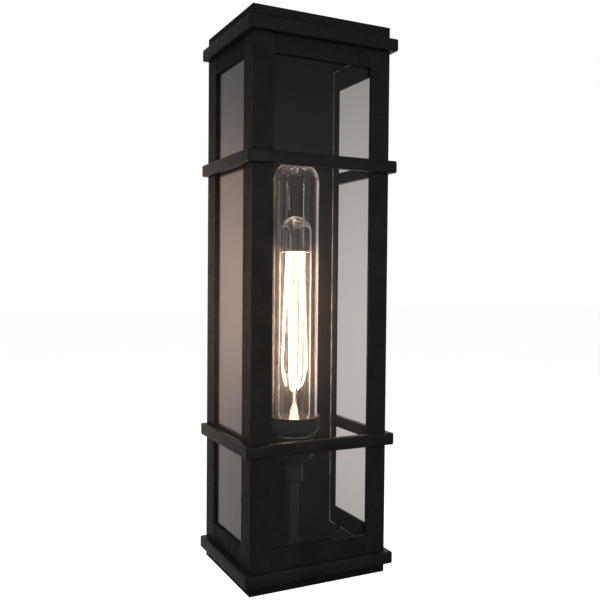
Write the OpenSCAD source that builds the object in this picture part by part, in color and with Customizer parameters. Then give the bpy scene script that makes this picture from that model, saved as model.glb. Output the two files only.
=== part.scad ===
// Wall lantern: an iron frame of four angle posts with face rails and four outside hoops,
// glazed on three sides, with a lift-off roof, a domed glass chimney and a tubular lamp
// that stands on a riser tube. Origin: centre of the wall bracket on the wall plane.
// +X to the right seen from the front, +Y into the wall, +Z up. Millimetres.

/* [Body] */
// Width of the body, across the front
body_w = 137; // [125:1:170]
// Depth of the body, from the wall to the front
body_d = 111.5; // [100:0.5:140]
// Height of the body, from the base to the top of the roof
body_h = 508; // [500:1:560]
// Height of the roof tray's skirt
roof_h = 10.8; // [9:0.1:14]
// Height of the base tray's skirt
base_h = 8.6; // [8:0.1:12]

/* [Frame] */
// Width of each leg of an angle post
leg_w = 20; // [16:0.5:24]
// Thickness of the angle posts and face rails
iron_t = 2.4; // [2:0.1:3]
// Height of the top face rails
top_rail_h = 27.6; // [24:0.1:34]
// Height of the bottom face rails
bottom_rail_h = 28.9; // [24:0.1:34]
// Thickness of the roof and base sheet
tray_t = 2; // [1.5:0.1:2.4]

/* [Hoops] */
// How far a hoop stands out from the body
hoop_p = 6; // [4:0.5:9]
// Height of a hoop
hoop_h = 11.2; // [9:0.1:14]
// Middle of the upper hoop above the lantern's middle
upper_hoop_z = 125.7; // [110:0.1:140]
// Middle of the lower hoop below the lantern's middle
lower_hoop_drop = 127.5; // [115:0.1:135]

/* [Glass] */
// Thickness of a pane
pane_t = 2.5; // [2:0.1:3]
// Outer radius of the domed chimney
chimney_r = 22; // [21.5:0.1:22.6]
// Wall of the chimney
chimney_t = 1.6; // [1.2:0.1:2]
// Top of the chimney's dome above the lantern's middle
chimney_top = 134.8; // [120:0.1:140]

/* [Lamp] */
// Radius of the lamp's glass
lamp_r = 15.3; // [14:0.1:16]
// Length of the lamp with its screw cap
lamp_len = 225; // [205:1:230]
// Radius of the filament cage at its top
cage_r = 8.6; // [6:0.1:10]
// Radius of the filament's outer strands where they bulge most
cage_belly_r = 12.6; // [10:0.1:13.2]
// Radius of the outer hooks at the foot of the cage
outer_foot_r = 8.5; // [6:0.1:10]
// Radius of the inner hooks at the foot of the cage
inner_foot_r = 3.6; // [3.2:0.1:5]
// Number of filament strands in the cage
strands = 12; // [8:4:16]

/* [Socket and riser] */
// Radius of the cup's rim
cup_r = 24.6; // [24.4:0.1:28]
// Rim of the cup below the lantern's middle
cup_drop = 110; // [108:0.5:112]
// Radius of the porcelain socket
socket_r = 17.5; // [16.5:0.1:17.6]
// Radius of the riser tube
riser_r = 5; // [4.8:0.1:5.2]
// Radius of the collar between the riser and the socket
collar_r = 9; // [8:0.1:12]

/* [Wall side] */
// Depth of the wiring space behind the back panel
wiring_d = 11; // [10:0.5:13]
// Width of the wall bracket
bracket_w = 94; // [90:1:96]
// Height of the wall bracket
bracket_h = 140; // [136:1:180]
// Spacing of the two side-by-side box screws
box_screw_x = 69.85; // [65:0.05:72]
// Spacing of the two box screws above each other
box_screw_z = 88.9; // [85:0.1:90]

/* [Hidden] */
$fn = 96;

// Colours
iron = [0.06, 0.06, 0.065];
bronze = [0.12, 0.10, 0.09];
clear_glass = [0.85, 0.88, 0.88, 0.35];
brass = [0.78, 0.62, 0.30];
zinc = [0.66, 0.67, 0.68];
glow = [1.0, 0.85, 0.55];
mica = [0.80, 0.74, 0.60, 0.6];

// Gaps
fit_gap = 0.05;      // between a shaft and the hole it sits in
seat_gap = 0.3;      // under a part that lifts off
glass_gap = 0.1;     // between a pane and what holds it
mitre_gap = 0.1;     // weld line between two hoop bars
edge_gap = 0.2;      // between the edge of a sheet or pane and the posts
stud_clear = 0.4;    // round a stud in the roof, the back panel and the washers

// Levels
body_top = body_h / 2;
body_bottom = -body_h / 2;
frame_top = body_top - roof_h;
frame_bottom = body_bottom + base_h;
floor_t = 1.6;
floor_top = frame_bottom + 10.8;
pane_bottom = floor_top + 0.2;
pane_top = frame_top - 7.2;
panel_top = frame_top - 5.2;
tab_z = frame_top - 4.7;

// Plan
half_w = body_w / 2;
inner_x = half_w - iron_t;
inner_front = -body_d + iron_t;
lamp_y = -body_d / 2;
panel_t = 1.5;
panel_front = -wiring_d - panel_t;

// Pane clips
clip_t = 1;
clip_w = 8;
clip_reach = 9;

// Roof fixing
stud_x = half_w - 17;
stud_r = 2;
tab_t = 2;
washer_t = 1.2;
nut_z = body_top + washer_t + 0.2;

// Socket, from the lamp's tip up
lamp_top = 81;
tip_z = lamp_top - lamp_len;
cap_top = tip_z + 26;
socket_floor = tip_z - 3;
socket_base = socket_floor - 5;
socket_top = cap_top + 1;
socket_bore_r = 14.6;
cup_rim = -cup_drop;
cup_h = 18.6;
cup_round = 9;
seat_z = cup_rim - 11;
gasket_t = 1.4;
holder_t = 0.8;
collar_len = 21;
collar_bottom = socket_base - holder_t - 0.2 - collar_len;
riser_foot = floor_top - floor_t - 6;
riser_bore_r = 3.6;
riser_washer_r = 8.2;
riser_washer_t = 0.9;
thread_r = 13.15;
neck_r = 11.4;
shell_r = 13.5;
button_r = 2.2;
support_r = 0.3;

// Wall bracket
bracket_t = 2;
slot_r = 2.3;
slot_len = 12;
entry_r = 11;
mount_stud_z = 58;

// Wires, in the order in which they run
wire_r = 1.1;
bend_r = 6;
run_z = floor_top - 12.4;
rise_y = -6.5;
block_z = -48;
line_route = [[1.6, lamp_y, socket_floor - 0.4], [1.6, lamp_y, run_z], [6, rise_y, run_z],
    [6, rise_y, block_z - 0.3]];
neutral_route = [for (p = line_route) [-p[0], p[1], p[2]]];
ground_x = -25;
ground_route = [[ground_x, -60, floor_top - floor_t - 0.2], [ground_x, -60, run_z],
    [ground_x, rise_y, run_z], [ground_x, rise_y, block_z + 4]];

// Functions

// Unit vector
function unit(v) = v / norm(v);

// Points of a route with every corner rounded by a curve of the given reach
function rounded_route(route, reach, steps = 5) = [
    route[0],
    for (i = [1 : len(route) - 2])
        let (a = route[i] - reach * unit(route[i] - route[i - 1]),
             b = route[i] + reach * unit(route[i + 1] - route[i]))
        for (k = [0 : steps])
            let (t = k / steps)
            (1 - t) * (1 - t) * a + 2 * t * (1 - t) * route[i] + t * t * b,
    route[len(route) - 1]
];

// Direction of a route at point i
function heading(route, i) =
    unit(route[min(i + 1, len(route) - 1)] - route[max(i - 1, 0)]);

// Ring of points round a route's point, started from the side direction
function ring(centre, ahead, side, r, sides) =
    let (b = unit(cross(ahead, side)), a = cross(b, ahead))
    [for (k = [0 : sides - 1]) centre + r * (cos(360 * k / sides) * a + sin(360 * k / sides) * b)];

// The point of the filament cage at an angle, a height and a radius
function cage_point(angle, z, r) = [r * cos(angle), lamp_y + r * sin(angle), z];

// Shapes that repeat

// A round rod swept along a route; side_of gives one side direction for each point
module swept_rod(route, side_of, r, sides) {
    last = len(route) - 1;
    rings = [for (i = [0 : last]) ring(route[i], heading(route, i), side_of[i], r, sides)];
    walls = [
        for (i = [0 : last - 1]) for (k = [0 : sides - 1])
            [i * sides + k, (i + 1) * sides + k,
             (i + 1) * sides + (k + 1) % sides, i * sides + (k + 1) % sides]
    ];
    first_cap = [for (k = [0 : sides - 1]) k];
    last_cap = [for (k = [sides - 1 : -1 : 0]) last * sides + k];
    polyhedron([for (each_ring = rings) each each_ring], concat([first_cap], walls, [last_cap]));
}

module insulated_wire(route) {
    path = rounded_route(route, bend_r);
    swept_rod(path, [for (p = path) [1, 0, 0]], wire_r, 8);
}

// A box given by its lowest and highest corners
module block(low, high) {
    translate(low) cube(high - low);
}

module at_lamp_axis() {
    translate([0, lamp_y, 0]) children();
}

// A ring or disc between two heights on the lamp's axis
module turned(z0, z1, r_out, r_in = 0) {
    at_lamp_axis() translate([0, 0, z0]) difference() {
        cylinder(h = z1 - z0, r = r_out);
        if (r_in > 0) translate([0, 0, -1]) cylinder(h = z1 - z0 + 2, r = r_in);
    }
}

// Horizontal slot through a plate on the wall plane
module wall_slot(angle) {
    rotate([0, angle, 0]) for (s = [-1, 1])
        translate([s * (slot_len / 2 - slot_r), 1, 0]) rotate([90, 0, 0])
            cylinder(h = bracket_t + 2, r = slot_r);
    rotate([0, angle, 0])
        block([-(slot_len / 2 - slot_r), -bracket_t - 1, -slot_r],
              [slot_len / 2 - slot_r, 1, slot_r]);
}

// Frame

module angle_post(side, front) {
    corner_y = front ? -body_d : 0;
    into = front ? 1 : -1;
    outline = [[0, 0], [leg_w, 0], [leg_w, iron_t], [iron_t, iron_t], [iron_t, leg_w], [0, leg_w]];
    color(iron) translate([0, 0, frame_bottom]) linear_extrude(frame_top - frame_bottom)
        polygon([for (p = outline) [side * (half_w - p[0]), corner_y + into * p[1]]]);
}

module face_rails(z0, z1) {
    color(iron) {
        block([-half_w + leg_w, -body_d, z0], [half_w - leg_w, inner_front, z1]);
        block([-half_w + leg_w, -iron_t, z0], [half_w - leg_w, 0, z1]);
        for (side = [-1, 1])
            translate([side * (half_w - iron_t / 2), 0, 0])
                block([-iron_t / 2, -body_d + leg_w, z0], [iron_t / 2, -leg_w, z1]);
    }
}

// Three mitred bars round the front and the two sides
module hoop(z_mid) {
    out = half_w + hoop_p;
    front = -body_d - hoop_p;
    color(iron) translate([0, 0, z_mid - hoop_h / 2]) linear_extrude(hoop_h) {
        polygon([[-half_w, -body_d], [half_w, -body_d], [out, front], [-out, front]]);
        for (side = [-1, 1])
            polygon([[side * half_w, -body_d + mitre_gap], [side * out, front + mitre_gap],
                [side * out, 0], [side * half_w, 0]]);
    }
}

module corner_lugs() {
    color(iron) for (side = [-1, 1]) for (y = lug_ys())
        translate([side * lug_x(), y, 0]) difference() {
            block([-5, -4, body_bottom + tray_t], [5, 4, floor_top - floor_t - 0.2]);
            translate([0, 0, body_bottom]) cylinder(h = 14, r = screw_r() + fit_gap);
        }
}

function lug_x() = inner_x - 5.2;
function lug_ys() = [inner_front + 4.2, -iron_t - 4.2];
function screw_r() = 1.5;

// Countersunk screws that hold the base tray to the lugs
module base_screws() {
    color(zinc) for (side = [-1, 1]) for (y = lug_ys())
        translate([side * lug_x(), y, body_bottom]) union() {
            cylinder(h = 1.5, r1 = 3, r2 = screw_r());
            cylinder(h = 12, r = screw_r());
        }
}

module base_tray() {
    wall = tray_t;
    color(iron) difference() {
        block([-half_w, -body_d, body_bottom], [half_w, 0, frame_bottom]);
        block([-half_w + wall, -body_d + wall, body_bottom + tray_t],
              [half_w - wall, -wall, frame_bottom + 1]);
        for (side = [-1, 1]) for (y = lug_ys())
            translate([side * lug_x(), y, body_bottom]) {
                translate([0, 0, -fit_gap]) cylinder(h = 1.5 + fit_gap, r1 = 3.15, r2 = screw_r() + fit_gap);
                translate([0, 0, 1]) cylinder(h = 3, r = screw_r() + fit_gap);
            }
    }
}

module floor_plate() {
    color(iron) difference() {
        block([-inner_x + edge_gap, inner_front + edge_gap, floor_top - floor_t],
              [inner_x - edge_gap, panel_front - 0.1, floor_top]);
        at_lamp_axis() translate([0, 0, floor_top - floor_t - 1])
            cylinder(h = floor_t + 2, r = riser_r + fit_gap);
    }
}

module back_panel() {
    color(iron) difference() {
        block([-inner_x + edge_gap, panel_front, floor_top - floor_t],
              [inner_x - edge_gap, -wiring_d, panel_top]);
        for (s = [-1, 1])
            translate([0, -wiring_d + 1, s * mount_stud_z]) rotate([90, 0, 0])
                cylinder(h = panel_t + 2, r = stud_r + stud_clear);
    }
}

module panel_spacer(side) {
    color(iron) translate([side * (inner_x - 1), 0, 0])
        block([-0.8, -wiring_d + fit_gap, floor_top - floor_t + edge_gap],
              [0.8, -iron_t, panel_top]);
}

// Glazing

module pane_front() {
    color(clear_glass)
        block([-inner_x + edge_gap, inner_front + glass_gap, pane_bottom],
              [inner_x - edge_gap, inner_front + glass_gap + pane_t, pane_top]);
}

module pane_side(side) {
    mid_x = inner_x - glass_gap - pane_t / 2;
    color(clear_glass) translate([side * mid_x, 0, 0])
        block([-pane_t / 2, inner_front + 2 * glass_gap + pane_t, pane_bottom],
              [pane_t / 2, panel_front - glass_gap, pane_top]);
}

// A tab over the edge of a pane, drawn for a wall on the plane x = 0 and a pane at +x
module pane_clip(top) {
    back = glass_gap + pane_t + glass_gap;
    mirror([0, 0, top ? 0 : 1]) {
        block([0, -clip_w / 2, 0], [back + clip_t, clip_w / 2, clip_t]);
        block([back, -clip_w / 2, -clip_reach], [back + clip_t, clip_w / 2, clip_t]);
    }
}

module pane_clips() {
    top_z = pane_top + glass_gap;
    side_ys = [inner_front + 26, panel_front - 20];
    color(iron) {
        for (x = [-0.55, 0.55])
            translate([x * half_w, inner_front, top_z]) rotate([0, 0, 90]) pane_clip(true);
        for (side = [-1, 1]) for (y = side_ys)
            translate([side * inner_x, y, top_z]) mirror([side > 0 ? 1 : 0, 0, 0]) pane_clip(true);
        // Angle stops that stand on the floor plate behind the bottom edges
        for (x = [-0.55, 0.55])
            translate([x * half_w, inner_front, 0]) rotate([0, 0, 90]) floor_stop();
        for (side = [-1, 1]) for (y = side_ys)
            translate([side * inner_x, y, 0]) mirror([side > 0 ? 1 : 0, 0, 0]) floor_stop();
    }
}

// A small angle on the floor plate, behind the bottom edge of a pane
module floor_stop() {
    back = 2 * glass_gap + pane_t;
    block([back, -clip_w / 2, floor_top], [back + clip_t, clip_w / 2, floor_top + clip_reach]);
    block([back, -clip_w / 2, floor_top], [back + 6, clip_w / 2, floor_top + clip_t]);
}

// Roof and its fixing

module roof() {
    lip_t = 1.4;
    lip_z = pane_top + 3.5;
    color(iron) difference() {
        union() {
            difference() {
                block([-half_w, -body_d, frame_top + seat_gap], [half_w, 0, body_top]);
                block([-half_w + tray_t, -body_d + tray_t, frame_top],
                      [half_w - tray_t, -tray_t, body_top - tray_t]);
            }
            for (y = [inner_front + 0.4, -iron_t - 0.4 - lip_t])
                block([-half_w + leg_w, y, lip_z], [half_w - leg_w, y + lip_t, body_top - 1]);
        }
        for (side = [-1, 1])
            translate([side * stud_x, lamp_y, body_top - tray_t - 1])
                cylinder(h = tray_t + 2, r = stud_r + stud_clear);
    }
}

module stud_tabs() {
    color(iron) for (side = [-1, 1])
        translate([side * inner_x, lamp_y, tab_z]) mirror([side > 0 ? 1 : 0, 0, 0])
            difference() {
                union() {
                    block([0, -9, 0], [inner_x - stud_x + 7, 9, tab_t]);
                    block([0, -9, 0], [tab_t, 9, 4]);
                }
                translate([inner_x - stud_x, 0, -1]) cylinder(h = tab_t + 2, r = stud_r + fit_gap);
            }
}

module roof_studs() {
    color(zinc) for (side = [-1, 1])
        translate([side * stud_x, lamp_y, tab_z]) union() {
            translate([0, 0, -2.8]) cylinder(h = 2.8, r = 3.8, $fn = 6);
            cylinder(h = body_top + 7 - tab_z, r = stud_r);
        }
}

module seal_washers() {
    color([0.05, 0.05, 0.05]) for (side = [-1, 1])
        translate([side * stud_x, lamp_y, body_top + 0.02]) difference() {
            cylinder(h = washer_t, r = 6.4);
            translate([0, 0, -1]) cylinder(h = washer_t + 2, r = stud_r + stud_clear);
        }
}

module thumb_nut(side) {
    flutes = 16;
    drum_r = 5.4;
    color(iron) translate([side * stud_x, lamp_y, nut_z]) difference() {
        union() {
            cylinder(h = 1.6, r = 6);
            cylinder(h = 7.6, r = drum_r);
        }
        translate([0, 0, -1]) cylinder(h = 10, r = stud_r + fit_gap);
        for (k = [0 : flutes - 1])
            rotate([0, 0, 360 * k / flutes]) translate([drum_r + 0.45, 0, 1.8])
                cylinder(h = 7, r = 0.8, $fn = 24);
    }
}

// Wall side

module wall_bracket() {
    color(zinc) difference() {
        block([-bracket_w / 2, -bracket_t, -bracket_h / 2], [bracket_w / 2, 0, bracket_h / 2]);
        for (s = [-1, 1]) {
            translate([s * box_screw_x / 2, 0, 0]) wall_slot(0);
            translate([0, 0, s * box_screw_z / 2]) wall_slot(90);
            translate([0, 1, s * mount_stud_z]) rotate([90, 0, 0])
                cylinder(h = bracket_t + 2, r = stud_r + fit_gap);
        }
        translate([0, 1, 0]) rotate([90, 0, 0]) cylinder(h = bracket_t + 2, r = entry_r);
        translate([ground_x, 1, block_z + 9]) rotate([90, 0, 0])
            cylinder(h = bracket_t + 2, r = 2 + fit_gap);
    }
}

module mounting_studs() {
    color(zinc) for (s = [-1, 1])
        translate([0, -0.2, s * mount_stud_z]) rotate([90, 0, 0])
            cylinder(h = -panel_front + 4.2, r = stud_r);
}

// Closed nuts on the lantern side of the back panel
module cap_nuts() {
    hex_h = 3.4;
    dome_r = 3.4;
    color(iron) for (s = [-1, 1])
        translate([0, panel_front - 0.05, s * mount_stud_z]) rotate([90, 0, 0]) difference() {
            union() {
                cylinder(h = hex_h, r = 4.2, $fn = 6);
                cylinder(h = hex_h + 1.6, r = dome_r);
                translate([0, 0, hex_h + 1.6]) sphere(r = dome_r);
            }
            translate([0, 0, -1]) cylinder(h = 5.6, r = stud_r + fit_gap);
        }
}

module terminal_block() {
    color([0.85, 0.84, 0.80]) difference() {
        block([-16, -wiring_d + 0.05, block_z], [16, -3.4, block_z + 14]);
        for (x = [-10, 0, 10])
            translate([x, -5.4, block_z + 7]) rotate([-90, 0, 0]) cylinder(h = 4, r = 2.2);
    }
}

module terminal_screws() {
    color(brass) for (x = [-10, 0, 10])
        translate([x, -5.35, block_z + 7]) rotate([-90, 0, 0]) difference() {
            cylinder(h = 1.4, r = 2);
            translate([-3, -0.3, 0.8]) cube([6, 0.6, 2]);
        }
}

module ground_screw() {
    color([0.15, 0.45, 0.2]) translate([ground_x, -bracket_t - 0.02, block_z + 9])
        rotate([90, 0, 0]) difference() {
            union() {
                cylinder(h = 2.6, r = 4.2, $fn = 6);
                translate([0, 0, -1.9]) cylinder(h = 2, r = 2);
            }
            translate([-5, -0.4, 1.6]) cube([10, 0.8, 2]);
        }
}

// Riser

module riser_tube() {
    color(bronze) turned(riser_foot, collar_bottom + collar_len + 0.6, riser_r, riser_bore_r);
}

// Lock nuts above and below the floor plate
module riser_nuts() {
    nut_h = 3;
    above = floor_top + riser_washer_t;
    below = floor_top - floor_t - riser_washer_t - nut_h;
    color(bronze) for (z = [above, below])
        at_lamp_axis() translate([0, 0, z]) difference() {
            cylinder(h = nut_h, r = 8, $fn = 6);
            translate([0, 0, -1]) cylinder(h = nut_h + 2, r = riser_r + fit_gap);
        }
}

module riser_washers() {
    color(zinc) {
        for (z = [floor_top, floor_top - floor_t - riser_washer_t])
            turned(z + 0.02, z + riser_washer_t - 0.02, riser_washer_r, riser_r + fit_gap);
    }
}

// Plastic bushing that guards the wires at the riser's lower end
module riser_bushing() {
    color([0.1, 0.1, 0.1]) turned(riser_foot - 1.2, riser_foot - 0.02, riser_r, riser_bore_r - 0.4);
}

// Socket

module socket_collar() {
    color(bronze) at_lamp_axis() translate([0, 0, collar_bottom]) difference() {
        union() {
            cylinder(h = 3, r1 = collar_r - 1.5, r2 = collar_r);
            translate([0, 0, 3]) cylinder(h = collar_len - 3, r = collar_r);
        }
        translate([0, 0, -1]) cylinder(h = collar_len + 2, r = riser_r + fit_gap);
    }
}

// Metal can round the lower half of the porcelain socket, with a flange under the cup
module socket_holder() {
    low = socket_base - holder_t - 0.1;
    high = cup_rim - cup_h - 0.1;
    outer = socket_r + 0.2 + holder_t;
    color(bronze) at_lamp_axis() rotate_extrude() polygon([
        [riser_r + fit_gap, low], [outer - 3, low], [outer, low + 3],
        [outer, high - holder_t], [outer + 2, high - holder_t], [outer + 2, high],
        [socket_r + 0.2, high], [socket_r + 0.2, low + 3.5], [outer - 3.4, low + holder_t],
        [riser_r + fit_gap, low + holder_t]
    ]);
}

// Bowl with a rounded underside, a beaded rim and a step that carries the chimney
module cup() {
    bore_r = socket_r + 0.15;
    arc_r = cup_r - cup_round;
    arc_z = cup_rim - cup_h + cup_round;
    start = asin((bore_r - arc_r) / cup_round);
    color(bronze) at_lamp_axis() rotate_extrude() polygon([
        for (k = [0 : 10])
            let (a = start + (90 - start) * k / 10)
            [arc_r + cup_round * sin(a), arc_z - cup_round * cos(a)],
        [cup_r, cup_rim - 1.2], [cup_r + 0.5, cup_rim - 0.6], [cup_r, cup_rim],
        [cup_r - 1.2, cup_rim], [cup_r - 1.2, seat_z], [19.2, seat_z],
        [19.2, seat_z - 4.6], [bore_r, seat_z - 4.6]
    ]);
}

module socket_body() {
    foot_h = 2.8;
    color([0.93, 0.92, 0.88]) at_lamp_axis() difference() {
        union() {
            translate([0, 0, socket_base]) cylinder(h = foot_h, r1 = socket_r - 2.5, r2 = socket_r);
            translate([0, 0, socket_base + foot_h])
                cylinder(h = socket_top - socket_base - foot_h, r = socket_r);
        }
        translate([0, 0, socket_floor]) cylinder(h = socket_top - socket_floor + 1, r = socket_bore_r);
        for (side = [-1, 1])
            translate([side * 1.6, 0, socket_base - 1]) cylinder(h = 8, r = wire_r + 0.2, $fn = 32);
    }
}

// Brass shell with rolled rings, the outer contact of the socket
module socket_shell() {
    rings = 5;
    pitch = 3.6;
    low = tip_z + 3;
    color(brass) at_lamp_axis() difference() {
        union() {
            translate([0, 0, low]) cylinder(h = rings * pitch + 3, r = shell_r + 0.4);
            for (k = [0 : rings - 1])
                translate([0, 0, low + 2 + k * pitch])
                    rotate_extrude() translate([shell_r + 0.1, 0]) circle(r = 0.8, $fn = 24);
        }
        translate([0, 0, low - 1]) cylinder(h = rings * pitch + 5, r = shell_r);
    }
}

// Strip that joins the shell to the neutral wire
module shell_tab() {
    low = tip_z + 3;
    color(brass) at_lamp_axis() {
        block([-shell_r - 0.4, -2.5, socket_floor + 0.05], [-shell_r + 0.2, 2.5, low - 0.05]);
        block([-shell_r - 0.4, -1.2, socket_floor + 0.05], [-3.4, 1.2, socket_floor + 0.5]);
    }
}

// Sprung tongue under the lamp's tip
module centre_contact() {
    color(brass) at_lamp_axis() translate([0, 3, 0]) rotate([90, 0, 0]) linear_extrude(6)
        polygon([[9, socket_floor + 0.05], [1.2, socket_floor + 0.05], [-2.6, tip_z - 0.9],
            [-2.6, tip_z - 0.4], [2.6, tip_z - 0.4], [9, socket_floor + 0.65]]);
}

module chimney_gasket() {
    color([0.75, 0.74, 0.72]) turned(seat_z + 0.02, seat_z + gasket_t, cup_r - 1.4, 19.6);
}

// Glass

module chimney() {
    bottom = seat_z + gasket_t + seat_gap;
    color(clear_glass) at_lamp_axis() difference() {
        union() {
            translate([0, 0, bottom]) cylinder(h = chimney_top - chimney_r - bottom, r = chimney_r);
            translate([0, 0, chimney_top - chimney_r]) sphere(r = chimney_r);
        }
        translate([0, 0, bottom - 1])
            cylinder(h = chimney_top - chimney_r - bottom + 1, r = chimney_r - chimney_t);
        translate([0, 0, chimney_top - chimney_r]) sphere(r = chimney_r - chimney_t);
    }
}

// Lamp

// Lamp bulb: neck in the cap, short flare, long tube and round top
module lamp_outline(inset) {
    flare_z = cap_top + 12;
    r = lamp_r - inset;
    polygon([
        [0, tip_z + 14 + inset], [neck_r - inset, tip_z + 14 + inset],
        for (k = [0 : 6])
            let (t = k / 6)
            [neck_r - inset + (r - neck_r + inset) * t * t * (3 - 2 * t),
             cap_top + (flare_z - cap_top) * t],
        for (k = [0 : 18]) [r * cos(5 * k), lamp_top - lamp_r + r * sin(5 * k)]
    ]);
}

module lamp_glass() {
    color(clear_glass) at_lamp_axis() rotate_extrude() difference() {
        lamp_outline(0);
        lamp_outline(0.8);
    }
}

module lamp_cap() {
    rings = 5;
    pitch = 3.6;
    low = tip_z + 4.5;
    color(brass) at_lamp_axis() difference() {
        union() {
            translate([0, 0, low]) cylinder(h = cap_top - low, r = thread_r - 0.7);
            for (k = [0 : rings - 1])
                translate([0, 0, low + 1.8 + k * pitch])
                    rotate_extrude() translate([thread_r - 0.9, 0]) circle(r = 0.9, $fn = 24);
        }
        translate([0, 0, low - 1]) cylinder(h = cap_top - low + 2, r = neck_r + 0.1);
    }
}

module lamp_insulator() {
    color([0.07, 0.06, 0.1]) at_lamp_axis() rotate_extrude() polygon([
        [4.6, tip_z + 1.2], [5.6, tip_z + 1.2], [neck_r, tip_z + 4.6], [neck_r, tip_z + 6.4],
        [4.6, tip_z + 6.4]
    ]);
}

module lamp_contact() {
    color(zinc) turned(tip_z, tip_z + 3, 4.5);
}

// Glass mount: flared foot, press and centre rod with a button on top
module lamp_stem() {
    foot = tip_z + 15;
    button = cage_top();
    color(clear_glass) at_lamp_axis() rotate_extrude() polygon([
        [0, foot + 1], [9.8, foot], [9, foot + 3], [5.4, foot + 12],
        [3.6, press_z() - 9], [3.2, press_z() - 4], [1.2, press_z()],
        [1.1, button - 0.6], [button_r, button], [button_r, button + 2], [1.2, button + 3],
        [0, button + 3]
    ]);
}

function press_z() = cap_top + 20;
function cage_top() = lamp_top - 35.5;
function cage_bottom() = cap_top + 34;

// Every second hook at the foot of the cage is an outer one and stands higher
function foot_is_outer(hook) = hook % 2 == 1;
function foot_r(hook) = foot_is_outer(hook) ? outer_foot_r : inner_foot_r;
function foot_z(hook) = cage_bottom() + (foot_is_outer(hook) ? 5 : 0);

// Angle of a filament strand, or of a hook between two strands
function strand_angle(k) = k * 360 / strands + 2;

// Mica disc that steadies the mount in the glass and keeps the heat below it
module mica_disc() {
    color(mica) turned(cage_top() + 1.5, cage_top() + 1.9, lamp_r - 1.2, button_r + 0.1);
}

// A straight support wire from the mount's rod outwards
module spoke(angle, z, from_r, to_r) {
    at_lamp_axis() rotate([0, 0, angle]) translate([from_r, 0, z]) rotate([0, 90, 0])
        cylinder(h = to_r - from_r, r = support_r, $fn = 16);
}

// Lead wires, the hooks above and below the cage, and the spider that touches the glass
module filament_supports() {
    hook_gap = 0.5;
    rod_r = 1.25;
    lead_r = 2.6;
    last_hook = strands / 2 - 1;
    color(zinc) {
        for (hook = [0 : last_hook])
            spoke(strand_angle(2 * hook + 0.5), cage_top() + 1, button_r + 0.05, cage_r - hook_gap);
        for (hook = [1 : last_hook])
            spoke(strand_angle(2 * hook - 0.5), foot_z(hook) + 1, rod_r, foot_r(hook) - hook_gap);
        for (k = [0 : 3])
            spoke(45 + 90 * k, cage_top() + 2.4, button_r + 0.05, lamp_r - 1.2);
        for (side = [-1, 1])
            at_lamp_axis() translate([side * lead_r, 0, press_z() + 0.3]) rotate([0, side * 4, 0])
                cylinder(h = cage_bottom() - press_z() - 2, r = support_r, $fn = 16);
    }
}

// One wire that zigzags up and down round the cage; two strands meet at each hook
module filament() {
    route = [
        for (k = [0 : strands - 1])
            let (hook = floor((k + 1) / 2),
                 low = foot_z(hook),
                 levels = [low, low + 7, low + 22, cage_top()],
                 radii = foot_is_outer(hook)
                     ? [outer_foot_r, cage_belly_r - 1.2, cage_belly_r, cage_r]
                     : [inner_foot_r, inner_foot_r + 1.4, inner_foot_r + 2.4, cage_r])
            for (i = k % 2 == 0 ? [0 : 3] : [3 : -1 : 0])
                cage_point(strand_angle(k), levels[i], radii[i])
    ];
    sides = [for (p = route) unit([p[0], p[1] - lamp_y, 0])];
    color(glow) swept_rod(route, sides, support_r, 6);
}

angle_post(-1, true);  // post_front_left
angle_post(1, true);  // post_front_right
angle_post(-1, false);  // post_rear_left
angle_post(1, false);  // post_rear_right
face_rails(frame_top - top_rail_h, frame_top);  // top_rails
face_rails(frame_bottom, frame_bottom + bottom_rail_h);  // bottom_rails
hoop(frame_top - hoop_h / 2);  // hoop_top
hoop(upper_hoop_z);  // hoop_upper
hoop(-lower_hoop_drop);  // hoop_lower
hoop(frame_bottom + hoop_h / 2);  // hoop_bottom
roof();
base_tray();
floor_plate();
back_panel();
panel_spacer(-1);  // panel_spacer_left
panel_spacer(1);  // panel_spacer_right
pane_front();
pane_side(-1);  // pane_left
pane_side(1);  // pane_right
pane_clips();
corner_lugs();
base_screws();
stud_tabs();
roof_studs();
seal_washers();
thumb_nut(-1);  // thumb_nut_left
thumb_nut(1);  // thumb_nut_right
wall_bracket();
mounting_studs();
cap_nuts();
riser_tube();
riser_nuts();
riser_washers();
riser_bushing();
socket_collar();
socket_holder();
cup();
socket_body();
socket_shell();
shell_tab();
centre_contact();
chimney_gasket();
chimney();
lamp_glass();
lamp_cap();
lamp_insulator();
lamp_contact();
lamp_stem();
mica_disc();
filament_supports();
filament();
terminal_block();
terminal_screws();
ground_screw();
insulated_wire(line_route);  // wire_line
insulated_wire(neutral_route);  // wire_neutral
insulated_wire(ground_route);  // wire_ground
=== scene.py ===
import math

import bmesh
import bpy
from mathutils import Matrix, Vector


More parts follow.
